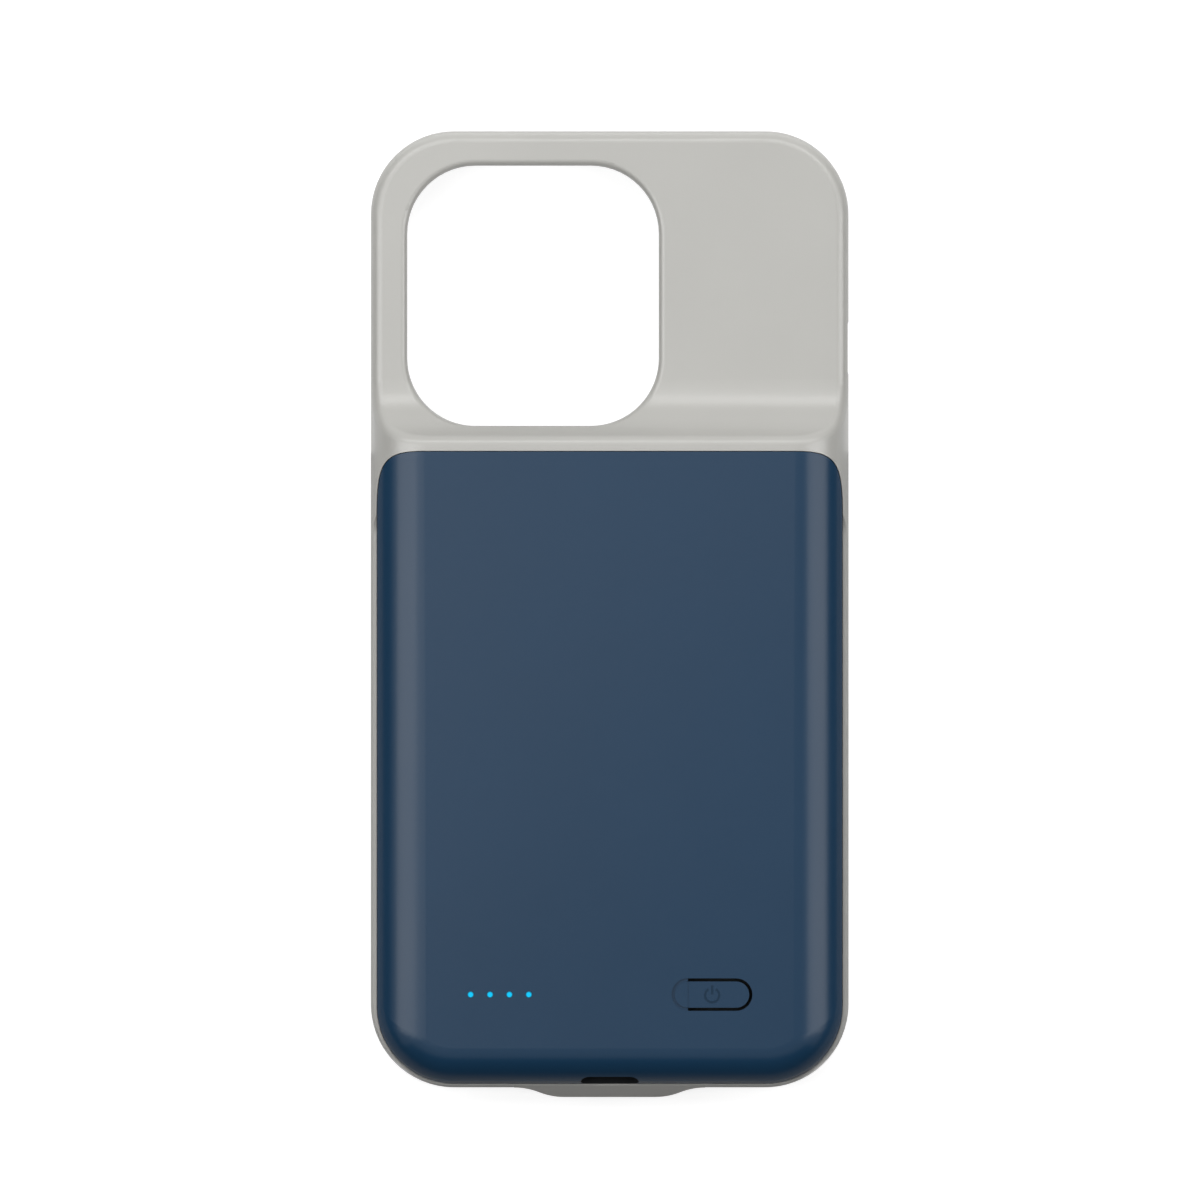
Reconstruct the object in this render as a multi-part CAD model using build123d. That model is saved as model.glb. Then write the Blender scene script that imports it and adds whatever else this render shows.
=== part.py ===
from build123d import *
import math
import os

# Battery charging case, lying on its front lip with its back up.
# X runs across the case, Y towards the phone's top, Z towards the back. Millimetres.

# Phone that the case is made for
phone_width = 70.6
phone_length = 146.6
phone_thickness = 8.25
phone_gap = 0.15

# Grey frame round the phone
side_wall = 2.55
top_wall = 2.4
bottom_wall = 2.85
corner_radius = 13.2
lip_thickness = 1.1
lip_overlap = 1.5
panel_wall = 2.2
front_edge_radius = 1.2
draft_angle = 15.0
draft_start_above_pocket = 0.5
shoulder_radius = 6.0
back_radius = 5.8
crown_from_side = 8.8
crown_radius = 9.6
rim_radius = 1.9
ramp_crest_from_top = 48.95
ramp_run = 9.4

# Camera opening in the upper panel
camera_width = 40.0
camera_height = 41.4
camera_corner = 10.8
camera_from_top = 5.52
camera_from_side = 5.8
camera_edge_radius = 1.0

# Chin that holds the phone plug
chin_depth = 1.6
chin_base_width = 30.4
chin_flat_width = 14.5
chin_front_start = 0.9
chin_front_rise = 1.6
chin_back_rise = 4.25
chin_back_below_land = 0.05
chamber_width = 20.8
chamber_depth = 1.4
chamber_outside_wall = 0.68
chamber_floor = 1.4

# Action button window, with a finger scoop round it, and the sound slots
action_from_top = 34.525
action_length = 6.9
action_height = 5.4
action_corner = 1.2
scoop_length = 8.3
scoop_slope = 1.3
scoop_depth = 0.6
scoop_above_pocket = 0.9
sound_slot_length = 10.0
sound_slot_height = 2.4
sound_slot_offset = 21.5

# Soft pads over the phone's side keys, each with a groove round it and a recess behind it
volume_up_from_top = 48.4
volume_down_from_top = 61.4
volume_key_length = 10.4
side_key_from_top = 52.6
side_key_length = 18.0
key_height = 4.2
key_groove_width = 0.5
key_groove_depth = 0.35
key_recess_edge = 0.9
key_recess_depth = 0.6

# Blue battery cover
cover_side_inset = 1.05
cover_end_inset = 0.7
cover_setback = 2.1
cover_corner_width = 7.45
cover_corner_length = 9.8
cover_corner_fullness = 0.84
cover_wall = 1.3
cover_roof = 1.2
seam_gap = 0.12
land_above_seat = 0.2
land_from_cover_top = 13.0
land_sweep = 7.0

# Flange of the frame and the tray that rests on it
flange_thickness = 1.0
flange_width = 2.5
tray_gap = 0.15
tray_rim_height = 0.8
tray_rim_overlap = 1.0
tray_notch_width = 12.0
rib_thickness = 0.8
rib_height = 1.4
rib_gap = 0.6
standoff_radius = 1.2
standoff_from_side = 4.0
standoff_from_edge = 2.8

# Screws from the tray into the cover's bosses
screw_radius = 0.8
screw_head_radius = 1.5
screw_head_height = 0.7
screw_length = 5.0
screw_gap = 0.06
boss_radius = 1.8
boss_from_cell = 0.4
boss_from_top = 6.5
boss_from_bottom = 9.3

# Battery cell
cell_width = 54.0
cell_length = 67.1
cell_thickness = 5.1
cell_corner = 3.0
cell_edge = 1.0
cell_end_gap = 0.35
swell_room = 0.25
terrace_length = 4.0
terrace_height = 0.95
terrace_inset = 2.0
tape_thickness = 0.15
tape_width = 18.0
tape_inset = 4.0
protection_length = 30.0
protection_width = 3.6
protection_thickness = 0.8
lead_diameter = 0.9
lead_spacing = 3.0
lead_x = 6.0
lead_rest_gap = 0.05
lead_landing = 2.6
lead_bend = 1.2
lead_room = 2.4

# Boards
board_from_boss = 0.6
board_thickness = 0.8
board_corner = 5.0
board_from_cover_end = 2.3
chip_size = 5.0
chip_height = 0.9
inductor_size = 6.0
inductor_height = 1.6
inductor_corner = 0.8
part_gap = 0.3
capacitor_length = 1.6
capacitor_width = 0.8
capacitor_pitch = 2.2
capacitor_count = 6
parts_from_board_top = 6.0
capacitors_from_board_low = 3.0

# Charge socket
port_above_floor = 3.1
port_shell_width = 8.94
port_shell_height = 3.26
port_shell_wall = 0.3
port_shell_length = 7.3
port_shell_gap = 0.05
port_setback = 0.95
port_relief_gap = 0.1
port_slot_width = 9.2
port_slot_height = 2.7
port_tongue_width = 6.7
port_tongue_thickness = 0.7
port_tongue_length = 5.0
port_tongue_edge = 0.3

# Indicator lights
light_count = 4
light_pitch = 3.08
light_first_x = -22.08
light_peg_radius = 0.45
light_hole_gap = 0.05
controls_from_bottom = 14.92
guide_margin = 1.4
guide_width = 2.6
guide_height = 1.15
led_length = 1.6
led_width = 0.8
led_height = 0.6

# Power button and its switch
button_x = 16.24
button_length = 12.8
button_width = 5.16
button_slot = 0.5
button_hinge_radius = 0.45
button_hinge_gap = 0.05
button_groove_depth = 0.3
post_radius = 0.8
post_from_hinge = 5.07
post_gap = 0.05
switch_size = 4.2
switch_height = 1.1
switch_corner = 0.5
plunger_radius = 0.8
plunger_stand = 0.4
plunger_sunk = 0.5
plunger_gap = 0.05
switch_travel = 0.25
switch_well_room = 0.1

# Plug that enters the phone, its board and the ribbon to the main board
plug_width = 8.25
plug_height = 2.4
plug_wall = 0.25
plug_reach = 6.5
plug_tip_radius = 0.12
plug_hole_gap = 0.2
plug_mouth_width = 6.9
plug_mouth_height = 0.75
plug_mouth_depth = 5.2
plug_board_width = 20.0
plug_board_thickness = 0.8
plug_board_gap = 0.2
plug_board_top_gap = 0.3
ribbon_width = 8.0
ribbon_thickness = 0.2
ribbon_landing = 1.6
ribbon_under_port = 0.32
ribbon_above_floor = 0.45
ribbon_low_run = 1.6
ribbon_slope_run = 2.5
ribbon_bend = 0.8
socket_width = 9.6
socket_length = 3.5
socket_height = 2.0
socket_behind_port = 1.6

# Heights, from the front lip up
pocket_top = lip_thickness + phone_thickness + phone_gap
panel_top = pocket_top + panel_wall
draft_start = pocket_top + draft_start_above_pocket
floor_top = pocket_top + flange_thickness
seat_top = floor_top + tray_rim_height
land_top = seat_top + land_above_seat
cell_low = floor_top + tape_thickness
roof_low = cell_low + cell_thickness + swell_room
back_top = roof_low + cover_roof
above = back_top + ramp_run
phone_middle = lip_thickness + (phone_thickness + phone_gap) / 2
port_middle = floor_top + port_above_floor
board_low = port_middle - board_thickness / 2
board_top = board_low + board_thickness
hinge_z = roof_low + button_hinge_radius

# Places across and along the case
pocket_width = phone_width + 2 * phone_gap
pocket_length = phone_length + 2 * phone_gap
case_width = pocket_width + 2 * side_wall
body_length = pocket_length + top_wall + bottom_wall
half_width = case_width / 2
crown_half = half_width - crown_from_side
top_y = (body_length + chin_depth) / 2
bottom_y = top_y - body_length
middle_y = (top_y + bottom_y) / 2
pocket_bottom_y = bottom_y + bottom_wall
pocket_middle_y = pocket_bottom_y + pocket_length / 2
crest_y = top_y - ramp_crest_from_top
ramp_foot_y = crest_y + ramp_run
cover_half = half_width - cover_side_inset
cover_low = bottom_y + cover_end_inset
cover_high = crest_y - cover_setback
controls_y = bottom_y + controls_from_bottom
cell_high_y = cover_high - flange_width - tray_gap - tray_rim_overlap - cell_end_gap
cell_low_y = cell_high_y - cell_length
terrace_low_y = cell_low_y - terrace_length
board_low_y = cover_low + board_from_cover_end
board_high_y = terrace_low_y - lead_room
board_length = board_high_y - board_low_y
boss_x = cell_width / 2 + boss_from_cell + boss_radius
board_width = 2 * (boss_x - boss_radius - board_from_boss)
chamber_low_y = bottom_y + chamber_outside_wall
chamber_high_y = chamber_low_y + chamber_depth
port_front_y = cover_low + cover_wall + port_setback
port_back_y = port_front_y + port_shell_length
part_x = port_shell_width / 2 + part_gap
hinge_x = button_x - (button_length - button_width) / 2
post_x = hinge_x + post_from_hinge
light_last_x = light_first_x + (light_count - 1) * light_pitch
far = case_width + body_length


def slab(sketch, low, high):
    """Straight solid of a flat sketch between two heights."""
    return extrude(Pos(0, 0, low) * sketch, high - low)


def end_plane(y, z):
    """Upright plane across the case, looking towards the phone's top."""
    return Plane((0, y, z), x_dir=(1, 0, 0), z_dir=(0, 1, 0))


def block(x, y, low, width, length, height):
    """Block centred on a place, standing on a height."""
    return Pos(x, y, low) * Box(width, length, height, align=(Align.CENTER, Align.CENTER, Align.MIN))


def post(x, y, low, radius, height):
    """Round post standing on a height."""
    return Pos(x, y, low) * Cylinder(radius, height, align=(Align.CENTER, Align.CENTER, Align.MIN))


def across(sketch):
    """Solid that runs the whole way across the case, from a side profile."""
    return extrude(Plane.YZ * sketch, far, both=True)


def outline(inset):
    """Plan outline of the case without its chin."""
    rounded = RectangleRounded(case_width - 2 * inset, body_length - 2 * inset, corner_radius - inset)
    return Pos(0, middle_y) * rounded


def crown(inset, top):
    """Space under the back: flat in the middle and rounded off towards both sides."""
    radius = crown_radius - inset
    half = crown_half + radius
    right = CenterArc((crown_half, top - radius), radius, 0, 90)
    left = CenterArc((-crown_half, top - radius), radius, 90, 90)
    rest = Polyline(left @ 1, (-half, -lip_thickness), (half, -lip_thickness), right @ 0)
    profile = make_face([right, Line(right @ 1, left @ 0), left, *rest.edges()])
    return extrude(Plane.XZ * profile, far, both=True)


def is_on_back_edge(edge):
    """True for an edge where the crowned back meets the drafted walls."""
    box = edge.bounding_box()
    along_flat = box.max.X - box.min.X < seam_gap and abs(abs(box.max.X) - crown_half) < seam_gap
    return box.min.Z > draft_start + seam_gap and not along_flat


def outer_form(inset, top):
    """Rounded body: straight walls, a drafted upper part, a crowned back and a soft edge round it."""
    upper = extrude(Pos(0, 0, draft_start) * outline(inset), top - draft_start, taper=draft_angle)
    body = (slab(outline(inset), 0, draft_start) + upper) & crown(inset, top)
    body = fillet(body.edges().filter_by(is_on_back_edge), back_radius - inset)
    shoulder_edges = body.edges().filter_by_position(Axis.Z, draft_start, draft_start)
    return fillet(shoulder_edges, shoulder_radius)


def above_ramp():
    """Space over the upper panel and the ramp, which is a hollow arc up to the crest."""
    rise = back_top - panel_top
    radius = (ramp_run ** 2 + rise ** 2) / (2 * rise)
    turn = math.degrees(math.atan2(ramp_run, radius - rise))
    arc = CenterArc((ramp_foot_y, panel_top + radius), radius, -90 - turn, turn)
    crest = arc @ 0
    foot = arc @ 1
    lift = above - back_top
    past_crest = (crest.X - lift / math.tan(math.radians(turn)), above)
    rest = Polyline(foot, (far, panel_top), (far, above), past_crest, crest)
    return across(make_face([arc, *rest.edges()]))


def is_on_rim(edge):
    """True for an edge of the loop round the upper panel, the ramp's sides and its crest."""
    box = edge.bounding_box()
    is_foot = abs(box.min.Y - ramp_foot_y) + abs(box.max.Y - ramp_foot_y) < seam_gap
    return box.min.Y > crest_y - seam_gap and box.min.Z > panel_top - seam_gap and not is_foot


def camera_opening():
    """Rounded opening for the cameras, through the panel and the foot of the ramp."""
    x = -half_width + camera_from_side + camera_width / 2
    y = top_y - camera_from_top - camera_height / 2
    return slab(Pos(x, y) * RectangleRounded(camera_width, camera_height, camera_corner), pocket_top, above)


def is_on_camera_edge(edge):
    """True for an edge where the camera opening breaks out of the back."""
    box = edge.bounding_box()
    x_low = -half_width + camera_from_side
    y_high = top_y - camera_from_top
    inside_x = box.min.X > x_low - seam_gap and box.max.X < x_low + camera_width + seam_gap
    inside_y = box.max.Y < y_high + seam_gap and box.min.Y > y_high - camera_height - seam_gap
    return inside_x and inside_y and box.min.Z > panel_top - seam_gap


def cover_plan(grow):
    """Plan of the battery cover, grown or shrunk all round."""
    half = cover_half + grow
    low = cover_low - grow
    high = cover_high + grow
    wide = cover_corner_width + grow
    tall = cover_corner_length + grow
    low_radius = corner_radius - cover_side_inset + grow
    on_side = high - (1 - cover_corner_fullness) * tall
    on_top = half - (1 - cover_corner_fullness) * wide
    right = Bezier((half, high - tall), (half, on_side), (on_top, high), (half - wide, high))
    left = Bezier((wide - half, high), (-on_top, high), (-half, on_side), (-half, high - tall))
    low_left = CenterArc((low_radius - half, low + low_radius), low_radius, 180, 90)
    low_right = CenterArc((half - low_radius, low + low_radius), low_radius, 270, 90)
    corners = [right, left, low_left, low_right]
    sides = [Line(a @ 1, b @ 0) for a, b in zip(corners, corners[1:] + corners[:1])]
    return make_face(corners + sides)


def chin():
    """Bulge on the bottom end, with S-curved sides and sloped faces front and back."""
    reach = (chin_base_width - chin_flat_width) / 4
    drop = chin_depth / 2
    radius = (reach ** 2 + drop ** 2) / (2 * drop)
    base = chin_base_width / 2
    flat = chin_flat_width / 2
    tip = bottom_y - chin_depth
    root = middle_y
    right = [
        RadiusArc((base, bottom_y), (base - reach, bottom_y - drop), -radius),
        RadiusArc((base - reach, bottom_y - drop), (flat, tip), radius),
    ]
    left = [mirror(edge, Plane.YZ) for edge in right]
    rest = Polyline((base, bottom_y), (base, root), (-base, root), (-base, bottom_y))
    plan = make_face([*right, *left, Line((flat, tip), (-flat, tip)), *rest.edges()])
    back = land_top - chin_back_below_land
    back_y = bottom_y + (back - draft_start) * math.tan(math.radians(draft_angle))
    front = chin_front_start
    side = Polyline(
        (tip, front + chin_front_rise),
        (bottom_y, front),
        (pocket_bottom_y, front),
        (pocket_bottom_y, back),
        (back_y, back),
        (tip, back - chin_back_rise),
        close=True,
    )
    return slab(plan, 0, back_top) & across(make_face(side))


def above_land():
    """Space over the narrow land beside the cover, which sweeps up to the ramp."""
    start = cover_high - land_from_cover_top
    sweep_arc = EllipticalCenterArc((start, above), land_sweep, above - land_top, 270, arc_size=90)
    rest = Polyline(sweep_arc @ 1, (-far, above), (-far, land_top), sweep_arc @ 0)
    return across(make_face([sweep_arc, *rest.edges()]))


def side_plane(x, y):
    """Upright plane along the case at the phone's middle height, looking towards +X."""
    return Plane((x, y, phone_middle), x_dir=(0, 1, 0), z_dir=(1, 0, 0))


def key_pad(side, from_top, length):
    """Groove round the soft pad over one of the phone's keys, and the recess behind the pad."""
    y = top_y - from_top
    pad = SlotOverall(length, key_height)
    ring = SlotOverall(length + 2 * key_groove_width, key_height + 2 * key_groove_width) - pad
    groove = extrude(side_plane(side * half_width, y) * ring, key_groove_depth, both=True)
    behind = SlotOverall(length - 2 * key_recess_edge, key_height - 2 * key_recess_edge)
    recess = extrude(side_plane(side * pocket_width / 2, y) * behind, key_recess_depth, both=True)
    return [groove, recess]


def key_pads():
    """Cuts for the two volume keys on one side and the side key on the other."""
    volume_up = key_pad(1, volume_up_from_top, volume_key_length)
    volume_down = key_pad(1, volume_down_from_top, volume_key_length)
    return volume_up + volume_down + key_pad(-1, side_key_from_top, side_key_length)


def action_window():
    """Window for the phone's action button, and the finger scoop round it."""
    y = top_y - action_from_top
    opening = RectangleRounded(action_length, action_height, action_corner)
    window = extrude(side_plane(half_width, y) * opening, side_wall + phone_gap, both=True)
    half = scoop_length / 2
    floor_x = half_width - scoop_depth
    scoop = Polyline(
        (half_width, y - half),
        (floor_x, y - half + scoop_slope),
        (floor_x, y + half - scoop_slope),
        (half_width, y + half),
        (half_width + side_wall, y + half),
        (half_width + side_wall, y - half),
        close=True,
    )
    return window + slab(make_face(scoop), -lip_thickness, pocket_top + scoop_above_pocket)


def sound_slots():
    """Two slots through the bottom wall for the phone's speaker and microphone."""
    slot = SlotOverall(sound_slot_length, sound_slot_height)
    places = [Pos(x, 0) * slot for x in (-sound_slot_offset, sound_slot_offset)]
    start = bottom_y - chin_depth
    length = pocket_bottom_y - start + lip_overlap
    return [extrude(end_plane(start, phone_middle) * place, length) for place in places]


def plug_chamber():
    """Slot in the chin for the plug's board, with the hole that the plug comes out of."""
    middle = (chamber_low_y + chamber_high_y) / 2
    low = chamber_floor
    room = block(0, middle, low, chamber_width, chamber_depth, floor_top - low + seam_gap)
    hole = SlotOverall(plug_width + 2 * plug_hole_gap, plug_height + 2 * plug_hole_gap)
    length = pocket_bottom_y - middle + lip_overlap
    return room + extrude(end_plane(middle, phone_middle) * hole, length)


def make_phone_frame():
    """Grey frame: walls, lip, panel, ramp and chin, open where the phone and battery sit."""
    body = outer_form(0, back_top) - above_ramp()
    body = fillet(body.edges().filter_by(is_on_rim), rim_radius)
    front_edges = body.edges().filter_by_position(Axis.Z, 0, 0)
    body = fillet(front_edges, front_edge_radius)
    body = body - camera_opening()
    body = fillet(body.edges().filter_by(is_on_camera_edge), camera_edge_radius)
    body = body + chin()
    pocket_radius = corner_radius - side_wall
    pocket = Pos(0, pocket_middle_y) * RectangleRounded(pocket_width, pocket_length, pocket_radius)
    body = body - slab(pocket, lip_thickness, pocket_top)
    window_width = pocket_width - 2 * lip_overlap
    window_length = pocket_length - 2 * lip_overlap
    window = RectangleRounded(window_width, window_length, pocket_radius - lip_overlap)
    body = body - slab(Pos(0, pocket_middle_y) * window, -lip_thickness, lip_thickness)
    body = body - slab(cover_plan(seam_gap), floor_top, above)
    body = body - slab(cover_plan(-flange_width), pocket_top, floor_top)
    body = body - above_land()
    body = body - action_window() - plug_chamber()
    return body - sound_slots() - key_pads()


def screw_places():
    """Centres of the tray screws, in two rows along the sides."""
    first = cover_high - boss_from_top
    last = cover_low + boss_from_bottom
    rows = (first, (first + last) / 2, last)
    return [(side * boss_x, y) for side in (-1, 1) for y in rows]


def button_pill(inset):
    """Pill outline of the button, inside its slot by an inset."""
    width = button_width - 2 * inset
    return Pos(button_x, controls_y) * SlotOverall(button_length - 2 * inset, width)


def right_of(x):
    """Flat region to the right of a line across the button."""
    return Pos(x, controls_y) * Rectangle(far, far, align=(Align.MIN, Align.CENTER))


def hinge_root(grow):
    """Round root of the button's tongue, which lies along the hinge line."""
    length = button_width - 2 * button_slot + 2 * grow
    radius = button_hinge_radius + grow
    return Pos(hinge_x, controls_y, hinge_z) * Rot(90, 0, 0) * Cylinder(radius, length)


def light_places():
    """Centres of the indicator lights along X."""
    return [light_first_x + i * light_pitch for i in range(light_count)]


def make_battery_cover():
    """Blue shell over the battery, with bosses, port slot, light holes and button cut."""
    shell = outer_form(0, back_top) & slab(cover_plan(0), seat_top, above)
    hollow = outer_form(cover_wall, roof_low) & slab(cover_plan(-cover_wall), 0, above)
    for x, y in screw_places():
        hollow = hollow - post(x, y, seat_top, boss_radius, above)
    shell = shell - hollow
    for x, y in screw_places():
        shell = shell + post(x, y, floor_top, boss_radius, seat_top - floor_top)
    for x, y in screw_places():
        pilot = screw_length - flange_thickness + screw_gap
        shell = shell - post(x, y, floor_top, screw_radius + screw_gap, pilot)
    slot = SlotOverall(port_slot_width, port_slot_height)
    shell = shell - extrude(end_plane(bottom_y, port_middle) * slot, port_front_y - bottom_y)
    relief_gap = 2 * port_relief_gap
    relief = SlotOverall(port_shell_width + relief_gap, port_shell_height + relief_gap)
    relief_start = end_plane(port_front_y - port_relief_gap, port_middle)
    shell = shell - extrude(relief_start * relief, port_shell_length)
    for x in light_places():
        radius = light_peg_radius + light_hole_gap
        shell = shell - post(x, controls_y, roof_low - cover_roof, radius, 3 * cover_roof)
    cut = button_pill(0) & right_of(hinge_x)
    shell = shell - slab(cut, roof_low - cover_roof, above) - hinge_root(button_hinge_gap)
    groove = button_pill(0) - button_pill(button_slot) - right_of(hinge_x)
    return shell - slab(groove, back_top - button_groove_depth, above)


def make_power_button():
    """Tongue of the power button, with the post that presses the switch."""
    plan = button_pill(button_slot) & right_of(hinge_x + button_hinge_gap)
    tongue = slab(plan, roof_low, back_top)
    low = board_top + switch_height + plunger_stand + post_gap
    return tongue + hinge_root(0) + post(post_x, controls_y, low, post_radius, roof_low - low)


def make_inner_tray():
    """Stiff plate on the frame's flange, with a raised rim, rib and board standoffs."""
    plate = slab(cover_plan(-flange_width - tray_gap), pocket_top, floor_top)
    rim_inner = cover_plan(-flange_width - tray_gap - tray_rim_overlap)
    rim = slab(cover_plan(-tray_gap) - rim_inner, floor_top, seat_top)
    for x, y in screw_places():
        rim = rim - post(x, y, floor_top, boss_radius + tray_gap, tray_rim_height)
    notch_length = flange_width + tray_rim_overlap + bottom_wall
    rim = rim - block(0, cover_low, floor_top, tray_notch_width, 2 * notch_length, tray_rim_height)
    tray = plate + rim
    rib_y = terrace_low_y - rib_gap - rib_thickness / 2
    tray = tray + block(0, rib_y, floor_top, cell_width - 2 * terrace_inset, rib_thickness, rib_height)
    standoff_x = board_width / 2 - standoff_from_side
    for x in (-standoff_x, standoff_x):
        for y in (board_low_y + standoff_from_edge, board_high_y - standoff_from_edge):
            tray = tray + post(x, y, floor_top, standoff_radius, board_low - floor_top)
    for x, y in screw_places():
        tray = tray - screw(x, y, screw_gap)
    return tray


def screw(x, y, grow):
    """Countersunk screw with its head flush with the pocket side of the tray."""
    head = Cone(screw_head_radius + grow, screw_radius + grow, screw_head_height)
    head = Pos(x, y, pocket_top + screw_head_height / 2) * head
    return head + post(x, y, pocket_top, screw_radius + grow, screw_length)


def make_tray_screws():
    """The screws that hold the tray to the cover."""
    return Compound(children=[screw(x, y, 0) for x, y in screw_places()])


def make_battery_cell():
    """Pouch cell with soft edges and the sealed terrace that carries its board."""
    y = (cell_low_y + cell_high_y) / 2
    pouch = slab(Pos(0, y) * RectangleRounded(cell_width, cell_length, cell_corner), 0, cell_thickness)
    pouch = fillet(pouch.edges().filter_by(Plane.XY), cell_edge)
    pouch = Pos(0, 0, cell_low) * pouch
    width = cell_width - 2 * terrace_inset
    length = terrace_length + cell_corner
    terrace_y = terrace_low_y + length / 2
    return pouch + block(0, terrace_y, cell_low, width, length, terrace_height)


def make_cell_tape():
    """Two strips of tape between the cell and the tray."""
    y = (cell_low_y + cell_high_y) / 2
    length = cell_length - 2 * tape_inset
    x = cell_width / 2 - tape_inset - tape_width / 2
    strips = [block(side * x, y, floor_top, tape_width, length, tape_thickness) for side in (-1, 1)]
    return Compound(children=strips)


def make_protection_board():
    """Small board on the cell's terrace."""
    y = terrace_low_y + protection_width / 2
    low = cell_low + terrace_height
    return block(0, y, low, protection_length, protection_width, protection_thickness)


def make_lead(x):
    """Insulated lead from the cell's board up onto the main board."""
    radius = lead_diameter / 2
    low = cell_low + terrace_height + protection_thickness + radius + lead_rest_gap
    high = board_top + radius + lead_rest_gap
    start = terrace_low_y + protection_width - radius
    step = (board_high_y + terrace_low_y) / 2
    slope = (high - low) / 2
    route = FilletPolyline(
        (x, start, low),
        (x, step + slope, low),
        (x, step - slope, high),
        (x, board_high_y - lead_landing, high),
        radius=lead_bend,
    )
    section = Plane(route @ 0, z_dir=route % 0) * Circle(radius)
    return sweep(section, route)


def make_main_board():
    """Main circuit board, notched for the charge socket."""
    y = (board_low_y + board_high_y) / 2
    board = slab(Pos(0, y) * RectangleRounded(board_width, board_length, board_corner), board_low, board_top)
    width = port_shell_width + 2 * port_shell_gap
    length = port_back_y + port_shell_gap - board_low_y
    return board - block(0, board_low_y, board_low, width, 2 * length, board_thickness)


def make_port_shell():
    """Metal shell of the charge socket, open towards the slot."""
    outer = SlotOverall(port_shell_width, port_shell_height)
    wall = 2 * port_shell_wall
    inner = SlotOverall(port_shell_width - wall, port_shell_height - wall)
    shell = extrude(end_plane(port_front_y, port_middle) * outer, port_shell_length)
    depth = port_shell_length - port_shell_wall
    return shell - extrude(end_plane(port_front_y, port_middle) * inner, depth)


def make_port_tongue():
    """Contact tongue inside the charge socket."""
    width = port_tongue_width
    tongue = RectangleRounded(width, port_tongue_thickness, port_tongue_edge)
    start = port_back_y - port_shell_wall - port_tongue_length
    return extrude(end_plane(start, port_middle) * tongue, port_tongue_length)


def make_controller_chip():
    """Charge controller in a flat square package."""
    y = board_high_y - parts_from_board_top
    return block(-part_x - chip_size / 2, y, board_top, chip_size, chip_size, chip_height)


def make_boost_inductor():
    """Moulded power inductor."""
    y = board_high_y - parts_from_board_top
    body = RectangleRounded(inductor_size, inductor_size, inductor_corner)
    x = part_x + inductor_size / 2
    return slab(Pos(x, y) * body, board_top, board_top + inductor_height)


def make_board_capacitors():
    """Row of chip capacitors along the board's lower edge."""
    y = board_low_y + capacitors_from_board_low
    first = -board_width / 4 - capacitor_pitch * (capacitor_count - 1) / 2
    size = (capacitor_width, capacitor_length, capacitor_width)
    row = [block(first + i * capacitor_pitch, y, board_top, *size) for i in range(capacitor_count)]
    return Compound(children=row)


def make_indicator_leds():
    """Surface LEDs under the light guide's pegs."""
    size = (led_length, led_width, led_height)
    return Compound(children=[block(x, controls_y, board_top, *size) for x in light_places()])


def make_light_guide():
    """Clear bar under the cover's roof, with a peg in each light hole."""
    length = light_last_x - light_first_x + 2 * guide_margin
    middle = (light_first_x + light_last_x) / 2
    bar = Pos(middle, controls_y) * SlotOverall(length, guide_width)
    guide = slab(bar, roof_low - guide_height, roof_low)
    for x in light_places():
        guide = guide + post(x, controls_y, roof_low, light_peg_radius, cover_roof)
    return guide


def make_switch_body():
    """Tact switch housing with the well that its plunger sinks into."""
    body = Pos(post_x, controls_y) * RectangleRounded(switch_size, switch_size, switch_corner)
    top = board_top + switch_height
    well = plunger_sunk + switch_travel + switch_well_room
    housing = slab(body, board_top, top)
    return housing - post(post_x, controls_y, top - well, plunger_radius + plunger_gap, well)


def make_switch_plunger():
    """Plunger of the tact switch."""
    low = board_top + switch_height - plunger_sunk
    return post(post_x, controls_y, low, plunger_radius, plunger_sunk + plunger_stand)


def plug_start_y():
    """Face of the plug's board that the plug stands on."""
    return chamber_low_y + plug_board_gap + plug_board_thickness


def make_phone_plug():
    """Metal shell of the plug that enters the phone."""
    length = pocket_bottom_y + plug_reach - plug_start_y()
    start = end_plane(plug_start_y(), phone_middle)
    shell = extrude(start * SlotOverall(plug_width, plug_height), length)
    tip_edges = shell.edges().filter_by_position(Axis.Y, pocket_bottom_y + plug_reach, far)
    shell = fillet(tip_edges, plug_tip_radius)
    inner = SlotOverall(plug_width - 2 * plug_wall, plug_height - 2 * plug_wall)
    return shell - extrude(start * inner, length)


def make_plug_core():
    """Insulating core of the plug, with the mouth for the phone's contact tongue."""
    wall = 2 * plug_wall
    inner = SlotOverall(plug_width - wall, plug_height - wall)
    tip = pocket_bottom_y + plug_reach - plug_wall
    core = extrude(end_plane(plug_start_y(), phone_middle) * inner, tip - plug_start_y())
    mouth = Rectangle(plug_mouth_width, plug_mouth_height)
    return core - extrude(end_plane(tip - plug_mouth_depth, phone_middle) * mouth, plug_mouth_depth)


def make_plug_board():
    """Upright board in the chin that the plug is soldered to."""
    y = chamber_low_y + plug_board_gap + plug_board_thickness / 2
    low = chamber_floor + plug_board_gap
    height = floor_top - plug_board_top_gap - low
    return block(0, y, low, plug_board_width, plug_board_thickness, height)


def make_ribbon_cable():
    """Flat ribbon from the plug's board, up through the tray's notch to the main board."""
    y = plug_start_y() + ribbon_thickness / 2
    low = floor_top - plug_board_top_gap - ribbon_landing
    low_run = floor_top + ribbon_above_floor
    high_run = port_middle - port_shell_height / 2 - ribbon_under_port
    slope_start = chamber_high_y + ribbon_low_run
    route = FilletPolyline(
        (0, y, low),
        (0, y, low_run),
        (0, slope_start, low_run),
        (0, slope_start + ribbon_slope_run, high_run),
        (0, port_back_y + socket_behind_port, high_run),
        radius=ribbon_bend,
    )
    section = Plane(route @ 0, x_dir=(1, 0, 0), z_dir=route % 0)
    return sweep(section * Rectangle(ribbon_width, ribbon_thickness), route)


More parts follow.
